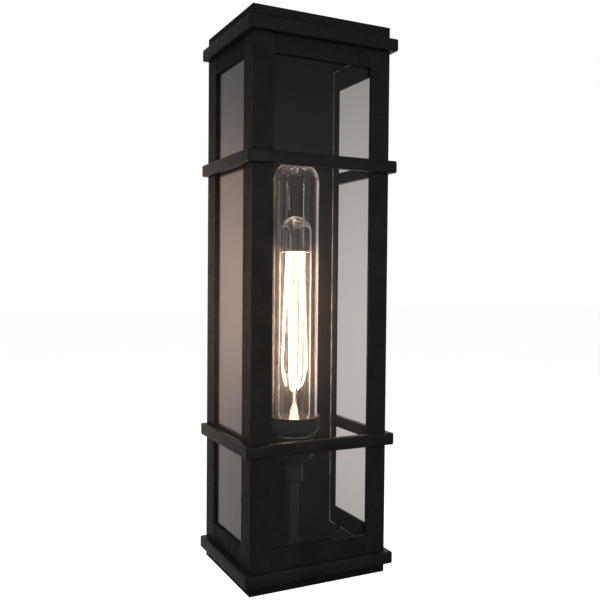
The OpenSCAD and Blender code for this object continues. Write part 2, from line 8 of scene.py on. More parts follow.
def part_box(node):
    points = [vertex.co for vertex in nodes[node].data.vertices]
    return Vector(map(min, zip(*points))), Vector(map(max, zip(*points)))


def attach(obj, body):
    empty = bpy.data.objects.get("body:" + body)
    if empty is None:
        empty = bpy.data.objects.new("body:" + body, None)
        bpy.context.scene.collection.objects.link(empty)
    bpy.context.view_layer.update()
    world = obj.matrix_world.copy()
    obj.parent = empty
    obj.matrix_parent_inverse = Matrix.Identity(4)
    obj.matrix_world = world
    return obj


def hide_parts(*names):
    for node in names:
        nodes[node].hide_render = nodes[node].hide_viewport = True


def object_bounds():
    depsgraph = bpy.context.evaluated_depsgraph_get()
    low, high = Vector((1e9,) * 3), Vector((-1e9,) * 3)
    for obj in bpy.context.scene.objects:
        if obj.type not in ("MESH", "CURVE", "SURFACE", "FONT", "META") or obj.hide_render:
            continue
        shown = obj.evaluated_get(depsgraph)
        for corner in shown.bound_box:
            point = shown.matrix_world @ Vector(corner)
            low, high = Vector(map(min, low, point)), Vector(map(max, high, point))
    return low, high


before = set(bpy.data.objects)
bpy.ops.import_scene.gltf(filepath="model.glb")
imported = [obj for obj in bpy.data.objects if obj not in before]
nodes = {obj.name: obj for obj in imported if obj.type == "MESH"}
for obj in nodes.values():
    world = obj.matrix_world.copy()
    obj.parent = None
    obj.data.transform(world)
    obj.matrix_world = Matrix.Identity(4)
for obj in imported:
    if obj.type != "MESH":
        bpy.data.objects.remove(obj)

cad_low, cad_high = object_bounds()
MM = 0.001

# Bores that several pieces share
RISER_WAY = 3.6 * MM
COLLAR_BORE = 5.05 * MM
STUD_BORE = 2.05 * MM


# ---------------------------------------------------------------- meshes

def mesh_object(name, points, faces, sharp_deg=35):
    """A smooth-shaded mesh object whose edges sharper than sharp_deg stay crisp."""
    mesh = bpy.data.meshes.new(name)
    mesh.from_pydata(points, [], faces)
    mesh.validate()
    mesh.polygons.foreach_set("use_smooth", [True] * len(mesh.polygons))
    mesh.set_sharp_from_angle(angle=math.radians(sharp_deg))
    piece = bpy.data.objects.new(name, mesh)
    bpy.context.scene.collection.objects.link(piece)
    return piece


def merged(name, parts):
    """One object from several (points, faces) pairs."""
    points, faces = [], []
    for part_points, part_faces in parts:
        start = len(points)
        points += part_points
        faces += [[i + start for i in face] for face in part_faces]
    return mesh_object(name, points, faces)


def radial_form(rings, centre, segments=96, axis="Z", closed=True):
    """Points and faces of a form round an axis. Each ring is (height, radius), where the radius may be
    a function of the angle. A closed form goes up the outside and down the bore; an open one ends
    in points on the axis."""
    turn = Matrix.Identity(3) if axis == "Z" else Matrix.Rotation(math.radians(90), 3, "X")
    points, starts = [], []
    for height, radius in rings:
        starts.append(len(points))
        if not callable(radius) and radius < 1e-7:
            points.append(centre + turn @ Vector((0, 0, height)))
            continue
        for k in range(segments):
            a = 2 * math.pi * k / segments
            r = radius(a) if callable(radius) else radius
            points.append(centre + turn @ Vector((r * math.cos(a), r * math.sin(a), height)))
    sizes = [b - a for a, b in zip(starts, starts[1:] + [len(points)])]
    faces = []
    count = len(rings)
    for i in range(count if closed else count - 1):
        j = (i + 1) % count
        a, b = starts[i], starts[j]
        for k in range(segments):
            m = (k + 1) % segments
            if sizes[i] == 1 and sizes[j] == 1:
                break
            if sizes[i] == 1:
                faces.append([a, b + m, b + k])
            elif sizes[j] == 1:
                faces.append([a + k, a + m, b])
            else:
                faces.append([a + k, a + m, b + m, b + k])
    return points, faces


def filleted(corners, steps=5):
    """A closed (height, radius) outline from (height, radius, fillet) corners, each rounded by its
    fillet."""
    outline = []
    count = len(corners)
    for i, (z, r, fillet) in enumerate(corners):
        here = Vector((z, r))
        before = Vector(corners[i - 1][:2])
        after = Vector(corners[(i + 1) % count][:2])
        if fillet <= 0:
            outline.append((z, r))
            continue
        back = min(fillet, (before - here).length * 0.49)
        ahead = min(fillet, (after - here).length * 0.49)
        start = here + (before - here).normalized() * back
        end = here + (after - here).normalized() * ahead
        for k in range(steps + 1):
            t = k / steps
            p = start.lerp(here, t).lerp(here.lerp(end, t), t)
            outline.append((p.x, p.y))
    return outline


def lathe(name, corners, centre, segments=128):
    """A turned piece from filleted (height, radius, fillet) corners."""
    points, faces = radial_form(filleted(corners), centre, segments)
    return mesh_object(name, points, faces)


def rod(route, radius, sides=8):
    """Points and faces of a round rod along a route, with its sides carried on from point to point."""
    route = [Vector(p) for p in route]
    count = len(route)
    heads = [(route[min(i + 1, count - 1)] - route[max(i - 1, 0)]).normalized()
             for i in range(count)]
    side = heads[0].orthogonal().normalized()
    points, faces = [], []
    for i, (p, head) in enumerate(zip(route, heads)):
        if i:
            side = (heads[i - 1].rotation_difference(head) @ side)
            side = (side - head * side.dot(head)).normalized()
        other = head.cross(side)
        for k in range(sides):
            a = 2 * math.pi * k / sides
            points.append(p + radius * (math.cos(a) * side + math.sin(a) * other))
    for i in range(count - 1):
        for k in range(sides):
            m = (k + 1) % sides
            faces.append([i * sides + k, i * sides + m, (i + 1) * sides + m, (i + 1) * sides + k])
    faces.append([k for k in reversed(range(sides))])
    faces.append([(count - 1) * sides + k for k in range(sides)])
    return points, faces


def smooth_route(corners, reach, steps=8):
    """A route through corners, each rounded by a curve that starts reach before it."""
    corners = [Vector(p) for p in corners]
    route = [corners[0]]
    for before, here, after in zip(corners, corners[1:], corners[2:]):
        back = min(reach, (here - before).length * 0.49)
        ahead = min(reach, (after - here).length * 0.49)
        a = here + (before - here).normalized() * back
        b = here + (after - here).normalized() * ahead
        for k in range(steps + 1):
            t = k / steps
            route.append(a.lerp(here, t).lerp(here.lerp(b, t), t))
    route.append(corners[-1])
    return route


def thread_form(centre, low, high, root, crest, pitch, bore, segments=96, per_turn=14):
    """Points and faces of a tube with a rounded right-hand screw thread on its outside (crest over
    root) and the same thread seen from inside when bore is below root by the wall's thickness."""
    rings = []
    steps = max(8, round((high - low) / pitch * per_turn))

    def wave(z, base, depth):
        fade = min(1, (z - low) / (0.6 * pitch), (high - z) / (0.6 * pitch))
        return lambda a: base + depth * fade * (0.5 + 0.5 * math.cos(2 * math.pi * z / pitch - a))

    heights = [low + (high - low) * k / steps for k in range(steps + 1)]
    rings += [(z, wave(z, root, crest - root)) for z in heights]
    rings += [(z, wave(z, bore, crest - root)) for z in reversed(heights)]
    return radial_form(rings, centre, segments)


def hexagon(across_flats, limit):
    """Radius of a hexagon at an angle, with its corners cut back to a circle of radius limit."""
    def radius(a):
        part = (a + math.pi / 6) % (math.pi / 3) - math.pi / 6
        return min(across_flats / 2 / math.cos(part), limit)
    return radius


def hex_rings(z0, z1, across_flats, bore, chamfer=0.0006):
    """Rings of a hexagon nut with chamfered corners."""
    corner = across_flats / 2 / math.cos(math.pi / 6)
    cut = corner - chamfer
    c = chamfer * 0.6
    return [
        (z0, hexagon(across_flats, cut - chamfer)), (z0 + c, hexagon(across_flats, cut)),
        (z0 + 2 * c, hexagon(across_flats, corner)), (z1 - 2 * c, hexagon(across_flats, corner)),
        (z1 - c, hexagon(across_flats, cut)), (z1, hexagon(across_flats, cut - chamfer)),
        (z1, bore + c), (z1 - c, bore), (z0 + c, bore), (z0, bore + c),
    ]


# ---------------------------------------------------------------- materials

class Shader:
    """A material with a Principled BSDF and short names for the nodes that feed it."""

    def __init__(self, name):
        self.material = bpy.data.materials.new(name)
        self.material.use_nodes = True
        self.tree = self.material.node_tree
        self.tree.nodes.clear()
        self.out = self.add("ShaderNodeOutputMaterial")
        self.bsdf = self.add("ShaderNodeBsdfPrincipled")
        self.link(self.bsdf.outputs["BSDF"], self.out.inputs["Surface"])
        self.place = self.add("ShaderNodeTexCoord").outputs["Object"]

    def add(self, kind, **settings):
        made = self.tree.nodes.new(kind)
        for key, value in settings.items():
            setattr(made, key, value)
        return made

    def link(self, a, b):
        self.tree.links.new(a, b)

    def set(self, **values):
        for key, value in values.items():
            self.bsdf.inputs[key.replace("_", " ")].default_value = value

    def stretched(self, x, y, z):
        mapping = self.add("ShaderNodeMapping")
        mapping.inputs["Scale"].default_value = (x, y, z)
        self.link(self.place, mapping.inputs["Vector"])
        return mapping.outputs["Vector"]

    def noise(self, scale, detail=3.0, roughness=0.5, vector=None):
        made = self.add("ShaderNodeTexNoise")
        made.inputs["Scale"].default_value = scale
        made.inputs["Detail"].default_value = detail
        made.inputs["Roughness"].default_value = roughness
        self.link(vector or self.place, made.inputs["Vector"])
        return made.outputs["Fac"]

    def ramp(self, factor, stops):
        """Colour ramp from (position, colour) stops."""
        made = self.add("ShaderNodeValToRGB")
        elements = made.color_ramp.elements
        while len(elements) < len(stops):
            elements.new(0.5)
        for element, (position, colour) in zip(elements, stops):
            element.position = position
            element.color = (*colour, 1)
        self.link(factor, made.inputs["Fac"])
        return made.outputs["Color"]

    def span(self, factor, low, high, from_low=0.3, from_high=0.7):
        made = self.add("ShaderNodeMapRange")
        made.inputs["From Min"].default_value = from_low
        made.inputs["From Max"].default_value = from_high
        made.inputs["To Min"].default_value = low
        made.inputs["To Max"].default_value = high
        self.link(factor, made.inputs["Value"])
        return made.outputs["Result"]

    def colour(self, socket):
        self.link(socket, self.bsdf.inputs["Base Color"])

    def roughness(self, socket):
        self.link(socket, self.bsdf.inputs["Roughness"])

    def bump(self, *layers):
        """Bump from (height socket, strength, distance) layers, each added to the one before."""
        before = None
        for height, strength, distance in layers:
            made = self.add("ShaderNodeBump")
            made.inputs["Strength"].default_value = strength
            made.inputs["Distance"].default_value = distance
            self.link(height, made.inputs["Height"])
            if before:
                self.link(before, made.inputs["Normal"])
            before = made.outputs["Normal"]
        self.link(before, self.bsdf.inputs["Normal"])

    def mix(self, factor, first, second):
        made = self.add("ShaderNodeMixShader")
        self.link(factor, made.inputs["Fac"])
        self.link(first, made.inputs[1])
        self.link(second, made.inputs[2])
        return made.outputs["Shader"]

    def dust_film_and_painted_glints(self, face, flank, limb_highlight, streak_highlights=1.0, painted_glints=None):
        """The glass with a thin film of dust that the lamps light. Its share rises along the glass's outline
        and in streaks along its height, which paints highlight lines. Between two levels, specks of film are
        added by an amount, which paints glints where the sealed glass would sparkle."""
        front = self.add("ShaderNodeBsdfDiffuse")
        through = self.add("ShaderNodeBsdfTranslucent")
        for side in (front, through):
            side.inputs["Color"].default_value = (0.9, 0.88, 0.86, 1)
        dust = self.add("ShaderNodeAddShader")
        self.link(front.outputs["BSDF"], dust.inputs[0])
        self.link(through.outputs["BSDF"], dust.inputs[1])
        weight = self.add("ShaderNodeLayerWeight")
        weight.inputs["Blend"].default_value = 0.5
        # film share by facing; the high share at the outline paints highlight lines
        share = self.ramp(weight.outputs["Facing"], [
            (0.0, (face,) * 3), (0.35, (flank,) * 3), (0.70, (flank,) * 3), (0.88, (limb_highlight,) * 3)])
        # streaks of film along the height, which paint highlight lines where the lamps light them
        highlight_streaks = self.noise(1, 2, 0.5, self.stretched(420, 420, 3))
        times = self.add("ShaderNodeMath", operation="MULTIPLY")
        self.link(share, times.inputs[0])
        self.link(self.span(highlight_streaks, 1 - 0.8 * streak_highlights, 1 + 2.2 * streak_highlights, 0.42, 0.72), times.inputs[1])
        film = times.outputs["Value"]
        if painted_glints:
            low, high, amount = painted_glints
            # specks of film near the dome's top, which paint glints
            glint_specks = self.span(self.noise(330, 2, 0.8), 0, amount, 0.60, 0.64)
            total = self.add("ShaderNodeMath", operation="ADD")
            self.link(film, total.inputs[0])
            self.link(self.above(low, high, glint_specks), total.inputs[1])
            film = total.outputs["Value"]
        return self.mix(film, self.bsdf.outputs["BSDF"], dust.outputs["Shader"])

    def let_lamps_through(self, tint, surface):
        """Light from lamps passes straight through, so that the glass casts hardly any shadow."""
        path = self.add("ShaderNodeLightPath")
        clear = self.add("ShaderNodeBsdfTransparent")
        clear.inputs["Color"].default_value = (*tint, 1)
        shown = self.mix(path.outputs["Is Shadow Ray"], surface, clear.outputs["BSDF"])
        self.link(shown, self.out.inputs["Surface"])

    def above(self, low, high, height):
        """A height socket that only counts between two levels, growing from the lower to the upper."""
        axes = self.add("ShaderNodeSeparateXYZ")
        self.link(self.place, axes.inputs["Vector"])
        times = self.add("ShaderNodeMath", operation="MULTIPLY")
        self.link(self.span(axes.outputs["Z"], 0, 1, low, high), times.inputs[0])
        self.link(height, times.inputs[1])
        return times.outputs["Value"]


def painted_iron(name, dark, pale, rough, grain, gloss=0.13, wave=0.12):
    """Matte paint on iron: fine orange peel, faint blotches, a few pale specks of dust."""
    s = Shader(name)
    blotch = s.noise(45, 5, 0.6)
    speck = s.noise(900, 2, 0.4)
    base = s.ramp(blotch, [(0.3, dark), (0.7, pale)])
    dust = s.ramp(speck, [(0.70, (0, 0, 0)), (0.78, (0.05, 0.048, 0.045))])
    mix = s.add("ShaderNodeMix", data_type="RGBA", blend_type="ADD")
    mix.inputs["Factor"].default_value = 1
    s.link(base, mix.inputs["A"])
    s.link(dust, mix.inputs["B"])
    s.colour(mix.outputs["Result"])
    s.roughness(s.span(s.noise(120, 4, 0.6), rough - 0.07, rough + 0.09))
    s.bump((s.noise(1400, 3, 0.55), grain, 0.00012), (s.noise(160, 2, 0.5), wave, 0.0004))
    s.set(IOR=1.5, Specular_IOR_Level=gloss)
    return s.material


def clear_glass(name, tint, ior, wave, streak, film, dome=None):
    """Clear glass with a faint wave in its faces, draw lines along its height and a film of dust, whose
    share along the outline, in streaks and in specks paints highlights and glints. A blown dome, given by
    the levels of its start and its top, is more uneven than the rest."""
    s = Shader(name)
    s.set(Base_Color=(*tint, 1), IOR=ior, Transmission_Weight=1.0, Roughness=0.0)
    layers = [(s.noise(22, 1, 0.3), wave, 0.0008),
              (s.noise(1, 2, 0.4, s.stretched(380, 380, 6)), streak, 0.0002)]
    if dome:
        layers.append((s.above(*dome, s.noise(150, 2, 0.5)), 1.0, 0.0022))
    s.bump(*layers)
    s.let_lamps_through(tint, s.dust_film_and_painted_glints(*film))
    return s.material


def plain_metal(name, dark, pale, rough, brush):
    """Bare or plated metal with fine brushing along its height and cloudy tarnish."""
    s = Shader(name)
    s.set(Metallic=1.0)
    s.colour(s.ramp(s.noise(90, 5, 0.6), [(0.35, dark), (0.65, pale)]))
    s.roughness(s.span(s.noise(160, 4, 0.6), rough - 0.08, rough + 0.12))
    s.bump((s.noise(1, 3, 0.6, s.stretched(900, 900, 4200)), brush, 0.00006))
    return s.material


def moulded(name, dark, pale, rough, grain):
    """Moulded plastic, rubber or glaze: slight mottling and a fine grain."""
    s = Shader(name)
    s.colour(s.ramp(s.noise(65, 4, 0.6), [(0.35, dark), (0.65, pale)]))
    s.roughness(s.span(s.noise(260, 3, 0.6), rough - 0.06, rough + 0.08))
    s.bump((s.noise(1820, 2, 0.5), grain, 0.00008))
    return s.material


def mica_sheet(name, dark, pale):
    """Thin mica: clear amber flakes with cloudy patches between the layers."""
    s = Shader(name)
    flakes = s.noise(260, 4, 0.65)
    s.colour(s.ramp(flakes, [(0.35, dark), (0.65, pale)]))
    s.roughness(s.span(flakes, 0.03, 0.25))
    s.bump((s.noise(500, 3, 0.6), 0.2, 0.00005))
    s.set(IOR=1.58, Transmission_Weight=0.7)
    return s.material


def glowing_wire(name, hot, cool, strength):
    """A white-hot coiled wire: bright turns with slightly cooler gaps between them."""
    s = Shader(name)
    turns = s.noise(1, 1, 0.3, s.stretched(500, 500, 2600))
    s.colour(s.ramp(turns, [(0.3, cool), (0.7, hot)]))
    s.link(s.ramp(turns, [(0.3, cool), (0.7, hot)]), s.bsdf.inputs["Emission Color"])
    s.set(Roughness=0.5, Emission_Strength=strength)
    s.material.cycles.emission_sampling = "NONE"
    return s.material


IRON = painted_iron("black_iron", (0.0066, 0.0068, 0.0074), (0.0108, 0.0110, 0.0116),
                    0.55, 0.35, 0.09)
POST_IRON = painted_iron("post_iron", (0.0067, 0.0068, 0.0073), (0.0110, 0.0110, 0.0115),
                         0.52, 0.35, 0.13)
# A darker, duller copy of the black iron for the base tray: its darker colour is painted shade.
SHADED_BASE_IRON = painted_iron("base_iron_painted_shade", (0.0052, 0.0054, 0.0058), (0.0086, 0.0088, 0.0093),
                         0.6, 0.35, 0.03)
HOOP_IRON = painted_iron("hoop_iron", (0.0063, 0.0065, 0.0070), (0.0104, 0.0105, 0.0109),
                         0.38, 0.35, 0.2)
PANEL = painted_iron("back_panel_paint", (0.0075, 0.0073, 0.0072), (0.011, 0.0107, 0.0105),
                     0.5, 0.1, 0.1, 0.0)
BRONZE = painted_iron("dark_bronze_paint", (0.014, 0.0128, 0.0118), (0.024, 0.022, 0.0202), 0.42, 0.3, 0.3)
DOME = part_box("chimney")[1].z
LAMP_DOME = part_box("lamp_glass")[1].z
# Film shares for face, flank and outline, then streaks and specks near a dome's top: the outline share, the
# streaks and the specks paint highlights and glints.
PANE = clear_glass("window_glass", (0.965, 0.975, 0.972), 1.5, 0.10, 0.0,
                   (0.0003, 0.0003, 0.002, 0.0))
CHIMNEY_GLASS = clear_glass("blown_glass", (0.985, 0.985, 0.98), 1.5, 0.35, 0.25,
                            (0.0003, 0.0015, 0.055, 1.2, (DOME - 9 * MM, DOME, 1.0)),
                            (DOME - 24 * MM, DOME))
LAMP_GLASS = clear_glass("lamp_envelope_glass", (0.992, 0.99, 0.984), 1.48, 0.2, 0.15,
                         (0.002, 0.0015, 0.16, 1.0, (LAMP_DOME - 13 * MM, LAMP_DOME, 0.8)),
                         (LAMP_DOME - 17 * MM, LAMP_DOME))
STEM_GLASS = clear_glass("lamp_stem_glass", (0.985, 0.98, 0.97), 1.5, 0.3, 0.2,
                         (0.22, 0.25, 0.4, 0.3))
BRASS = plain_metal("brass", (0.55, 0.37, 0.14), (0.80, 0.60, 0.28), 0.3, 0.25)
ZINC = plain_metal("zinc_plate", (0.42, 0.43, 0.44), (0.66, 0.66, 0.64), 0.38, 0.3)
SOLDER = plain_metal("solder", (0.45, 0.45, 0.46), (0.70, 0.70, 0.70), 0.33, 0.1)
SUPPORT = plain_metal("nickel_wire", (0.40, 0.37, 0.33), (0.62, 0.58, 0.52), 0.3, 0.1)
PORCELAIN = moulded("porcelain", (0.74, 0.72, 0.67), (0.84, 0.83, 0.79), 0.18, 0.05)
BLACK_GLASS = moulded("black_glass", (0.008, 0.006, 0.012), (0.02, 0.016, 0.03), 0.12, 0.05)
SILICONE = moulded("grey_silicone", (0.50, 0.49, 0.47), (0.62, 0.61, 0.58), 0.55, 0.3)
RUBBER = moulded("black_rubber", (0.018, 0.018, 0.018), (0.035, 0.034, 0.033), 0.62, 0.35)
GROUND_EDGE = moulded("ground_glass_edge", (0.05, 0.055, 0.054), (0.30, 0.32, 0.31), 0.55, 0.3)
IVORY = moulded("ivory_plastic", (0.66, 0.64, 0.57), (0.78, 0.76, 0.69), 0.42, 0.15)
GREEN = plain_metal("green_plate", (0.04, 0.22, 0.07), (0.10, 0.36, 0.14), 0.34, 0.2)
WIRE_BLACK = moulded("wire_black", (0.012, 0.012, 0.012), (0.028, 0.028, 0.028), 0.36, 0.1)
WIRE_WHITE = moulded("wire_white", (0.68, 0.68, 0.65), (0.80, 0.80, 0.77), 0.4, 0.1)
WIRE_GREEN = moulded("wire_green", (0.015, 0.17, 0.045), (0.04, 0.28, 0.08), 0.4, 0.1)
MICA = mica_sheet("mica", (0.80, 0.72, 0.56), (0.93, 0.89, 0.80))
FILAMENT = glowing_wire("filament_glow", (1.0, 0.86, 0.66), (1.0, 0.72, 0.46), 160.0)


# ---------------------------------------------------------------- CAD pieces that stay

def dress(names, material, bevel=0.0, segments=2):
    """Gives CAD nodes their material and softens their edges."""
    for name in names:
        piece = nodes[name]
        piece.data.materials.clear()
        piece.data.materials.append(material)
        if bevel:
            edge = piece.modifiers.new("soft_edges", "BEVEL")
            edge.width = bevel
            edge.segments = segments
            edge.limit_method = "ANGLE"
            edge.angle_limit = math.radians(40)
            edge.harden_normals = True


def grind_edges(names, material):
    """Gives the narrow faces round a pane their ground finish."""
    for name in names:
        mesh = nodes[name].data
        mesh.materials.append(material)
        widest = max(face.area for face in mesh.polygons)
        for face in mesh.polygons:
            face.material_index = 1 if face.area < widest / 8 else 0


POSTS = ["post_front_left", "post_front_right", "post_rear_left", "post_rear_right"]
dress(POSTS, POST_IRON, 0.5 * MM, 3)
dress(["top_rails", "bottom_rails"], IRON, 0.5 * MM, 3)
dress(["roof"], IRON, 0.8 * MM, 4)
dress(["base_tray"], SHADED_BASE_IRON, 0.8 * MM, 4)
dress(["floor_plate", "panel_spacer_left", "panel_spacer_right", "pane_clips", "corner_lugs",
       "stud_tabs"], IRON, 0.2 * MM)
dress(["back_panel"], PANEL, 0.2 * MM)
PANES = ["pane_front", "pane_left", "pane_right"]
dress(PANES, PANE, 0.25 * MM)
grind_edges(PANES, GROUND_EDGE)
dress(["wall_bracket"], ZINC, 0.2 * MM)
dress(["base_screws", "roof_studs", "mounting_studs", "riser_washers"], ZINC, 0.15 * MM)
dress(["seal_washers", "riser_bushing"], RUBBER, 0.15 * MM)
dress(["chimney_gasket"], SILICONE, 0.3 * MM, 3)
dress(["mica_disc"], MICA, 0.05 * MM)
dress(["socket_body"], PORCELAIN, 0.6 * MM, 3)
dress(["shell_tab", "centre_contact", "terminal_screws"], BRASS, 0.08 * MM)
dress(["terminal_block"], IVORY, 0.5 * MM, 3)
dress(["ground_screw"], GREEN, 0.15 * MM)
for wire, colour in (("wire_line", WIRE_BLACK), ("wire_neutral", WIRE_WHITE),
                     ("wire_ground", WIRE_GREEN)):
    dress([wire], colour)
    rounder = nodes[wire].modifiers.new("round_section", "SUBSURF")
    rounder.levels = rounder.render_levels = 1
    nodes[wire].data.polygons.foreach_set("use_smooth", [True] * len(nodes[wire].data.polygons))


# ---------------------------------------------------------------- pieces made here

def finish_piece(piece, body, replaced, material):
    """Gives a new piece its material, hangs it on the body it rides on and hides the CAD parts it stands
    for.
    """
    piece.data.materials.append(material)
    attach(piece, body)
    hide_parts(*replaced)
    return piece


def middle(node):
    low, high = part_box(node)
    return (low + high) / 2


AXIS = Vector((middle("chimney").x, middle("chimney").y, 0))
cup_low, cup_high = (p.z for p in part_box("cup"))
tip_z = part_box("lamp_contact")[0].z
lamp_low, lamp_top = (p.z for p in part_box("lamp_glass"))
lamp_r = (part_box("lamp_glass")[1].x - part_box("lamp_glass")[0].x) / 2
cap_low, cap_top = (p.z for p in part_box("lamp_cap"))


def crinkled(radius, k, depth):
    """Radius of ring k of a blown dome: a circle with uneven lobes."""
    return lambda a: radius * (1 + depth * (math.sin(5 * a + 1.7 * k)
                                            + 0.7 * math.sin(8 * a - 2.3 * k)))


def dome_rings(radius, low, top, sag=0.0, sag_r=5 * MM, crinkle=0.0, steps=60):
    """Rings up a hemisphere whose pole is at top. Inside a blown dome the glass sags round the pole,
    where it was sealed, and is crinkled there."""
    centre = top - radius
    rings = []
    for k in range(steps):
        a = math.pi / 2 * k / steps
        r = radius * math.cos(a)
        near = max(0, 1 - r / sag_r)
        z = centre + radius * math.sin(a) - sag * (3 - 2 * near) * near * near
        rough = crinkle * max(0, 1 - r / (2.4 * sag_r))
        rings.append((z, crinkled(r, k, rough) if rough > 0 else r))
    return [r for r in rings if r[0] >= low] + [(top - sag, 0)]


def make_hoop(node):
    """A flat bar bent round the front and the sides, with rounded edges and corners."""
    low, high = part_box(node)
    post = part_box("post_front_left")[0]
    inner_x, inner_y = -post.x, -post.y
    depth = high.x - inner_x
    edge = 1.5 * MM
    section = [(0, low.z), (0, high.z)]
    for centre_z, turn in ((high.z - edge, 90), (low.z + edge, 0)):
        for k in range(6):
            a = math.radians(turn - 18 * k)
            section.append((depth - edge + edge * math.cos(a), centre_z + edge * math.sin(a)))
    points, faces = [], []
    bends = 6
    for out, z in section:
        r = 1.3 * MM * out / depth
        x, y = inner_x + out, -inner_y - out
        plan = [(-x, 0)]
        for k in range(bends + 1):
            a = math.pi / 2 * k / bends
            plan.append((-x + r * (1 - math.cos(a)), y + r * (1 - math.sin(a))))
        plan += [(-px, py) for px, py in reversed(plan)]
        points += [(px, py, z) for px, py in plan]
    length = 2 * (bends + 2)
    rows = len(section)
    for i in range(rows):
        j = (i + 1) % rows
        for k in range(length - 1):
            faces.append([i * length + k, i * length + k + 1, j * length + k + 1, j * length + k])
    faces.append([i * length for i in range(rows)])
    faces.append([i * length + length - 1 for i in reversed(range(rows))])
    piece = mesh_object(node + "_bar", points, faces, 40)
    outward(piece)
    finish_piece(piece, "frame", [node], HOOP_IRON)


def outward(piece):
    """Turns all faces of a closed piece outwards."""
    work = bmesh.new()
    work.from_mesh(piece.data)
    bmesh.ops.recalc_face_normals(work, faces=work.faces)
    work.to_mesh(piece.data)
    work.free()


def make_chimney():
    low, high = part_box("chimney")
    radius = (high.x - low.x) / 2
    wall = 1.6 * MM
    lip = wall / 2
    turns = [math.radians(a) for a in range(0, 91, 15)]
    rings = [(low.z + lip * (1 - math.cos(a)), radius - lip + lip * math.sin(a)) for a in turns]
    rings += dome_rings(radius, low.z, high.z)
    inside = dome_rings(radius - wall, low.z, high.z - wall, 2.5 * MM, 5 * MM, 0.05)
    rings += inside[::-1]
    rings += [(low.z + lip * (1 - math.cos(a)), radius - lip - lip * math.sin(a))
              for a in reversed(turns[1:])]
    points, faces = radial_form(rings, AXIS, 160, closed=True)
    piece = mesh_object("chimney_glass", points, faces, 80)
    finish_piece(piece, "chimney", ["chimney"], CHIMNEY_GLASS)


def make_lamp_glass():
    wall = 0.8 * MM
    neck = 11.4 * MM
    flare_top = cap_top + 12 * MM

    def envelope(inset, sag, crinkle):
        r = lamp_r - inset
        rings = [(lamp_low + inset, 0), (lamp_low + inset, neck - inset - 0.5 * MM),
                 (lamp_low + inset + 0.5 * MM, neck - inset)]
        for k in range(13):
            t = k / 12
            rings.append((cap_top + (flare_top - cap_top) * t,
                          neck - inset + (r - neck + inset) * t * t * (3 - 2 * t)))
        return rings + dome_rings(r, flare_top, lamp_top - inset, sag, 4 * MM, crinkle)
    outer, outer_faces = radial_form(envelope(0, 0, 0), AXIS, 128, closed=False)
    inner, inner_faces = radial_form(envelope(wall, 2.2 * MM, 0.06), AXIS, 128, closed=False)
    inner_faces = [face[::-1] for face in inner_faces]
    piece = merged("lamp_envelope", [(outer, outer_faces), (inner, inner_faces)])
    finish_piece(piece, "lamp", ["lamp_glass"], LAMP_GLASS)


# The cage: strands in pairs that share a hook at the foot, by turns an inner hook and a higher outer one
CAGE_TOP = lamp_top - 35.5 * MM
CAGE_LOW = cap_top + 34 * MM
CAGE_TOP_R = 8.6 * MM
BELLY_R = 12.6 * MM
BELLY_RISE = 22 * MM
OUTER_FOOT_R = 8.5 * MM
INNER_FOOT_R = 3.6 * MM
OUTER_FOOT_RISE = 5 * MM
STRANDS = 12
PRESS = cap_top + 20 * MM


def around(angle, radius, z):
    return AXIS + Vector((radius * math.cos(angle), radius * math.sin(angle), z))


def make_stem():
    """Glass mount: flared foot, tube, flat press and a centre rod with a button on top."""
    low, high = (p.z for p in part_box("lamp_stem"))

    def pinched(r, flat):
        return lambda a: r * math.sqrt((math.cos(a) * (1 + 0.5 * flat)) ** 2
                                       + (math.sin(a) * (1 - 0.62 * flat)) ** 2)
    rings = [(low + 1 * MM, 0), (low, 9.6 * MM), (low + 1.2 * MM, 9.7 * MM), (low + 4 * MM, 8.6 * MM),
             (low + 9 * MM, 6.4 * MM), (low + 14 * MM, 5.2 * MM), (PRESS - 12 * MM, 4.4 * MM),
             (PRESS - 9 * MM, pinched(3.7 * MM, 0.1)), (PRESS - 6 * MM, pinched(3.0 * MM, 0.6)),
             (PRESS - 3 * MM, pinched(2.3 * MM, 0.7)), (PRESS - 1 * MM, pinched(1.7 * MM, 0.5)),
             (PRESS, pinched(1.3 * MM, 0.2)), (PRESS + 1.5 * MM, 1.05 * MM),
             (CAGE_TOP - 1.2 * MM, 1.05 * MM), (CAGE_TOP, 1.9 * MM), (CAGE_TOP + 1 * MM, 2.2 * MM),
             (CAGE_TOP + 2 * MM, 1.9 * MM), (high - 0.4 * MM, 0.9 * MM), (high, 0)]
    points, faces = radial_form(rings, AXIS, 64, closed=False)
    piece = mesh_object("lamp_stem_glass", points, faces, 60)
    finish_piece(piece, "lamp", ["lamp_stem"], STEM_GLASS)


def strand_angle(k):
    return math.radians(k * 360 / STRANDS + 2)


def is_outer(foot_hook):
    return foot_hook % 2 == 1


def foot_height(foot_hook):
    return CAGE_LOW + (OUTER_FOOT_RISE if is_outer(foot_hook) else 0)


def cage_radius(z, foot_hook):
    """Outer strands bulge near their foot and draw in to the hook; inner ones run nearly straight."""
    low = foot_height(foot_hook)
    if not is_outer(foot_hook):
        t = (z - low) / (CAGE_TOP - low)
        return INNER_FOOT_R + (CAGE_TOP_R - INNER_FOOT_R) * t ** 0.55
    if z > low + BELLY_RISE:
        t = (z - low - BELLY_RISE) / (CAGE_TOP - low - BELLY_RISE)
        return BELLY_R + (CAGE_TOP_R - BELLY_R) * t ** 1.1
    return OUTER_FOOT_R + (BELLY_R - OUTER_FOOT_R) * math.sin((z - low) / BELLY_RISE * math.pi / 2)


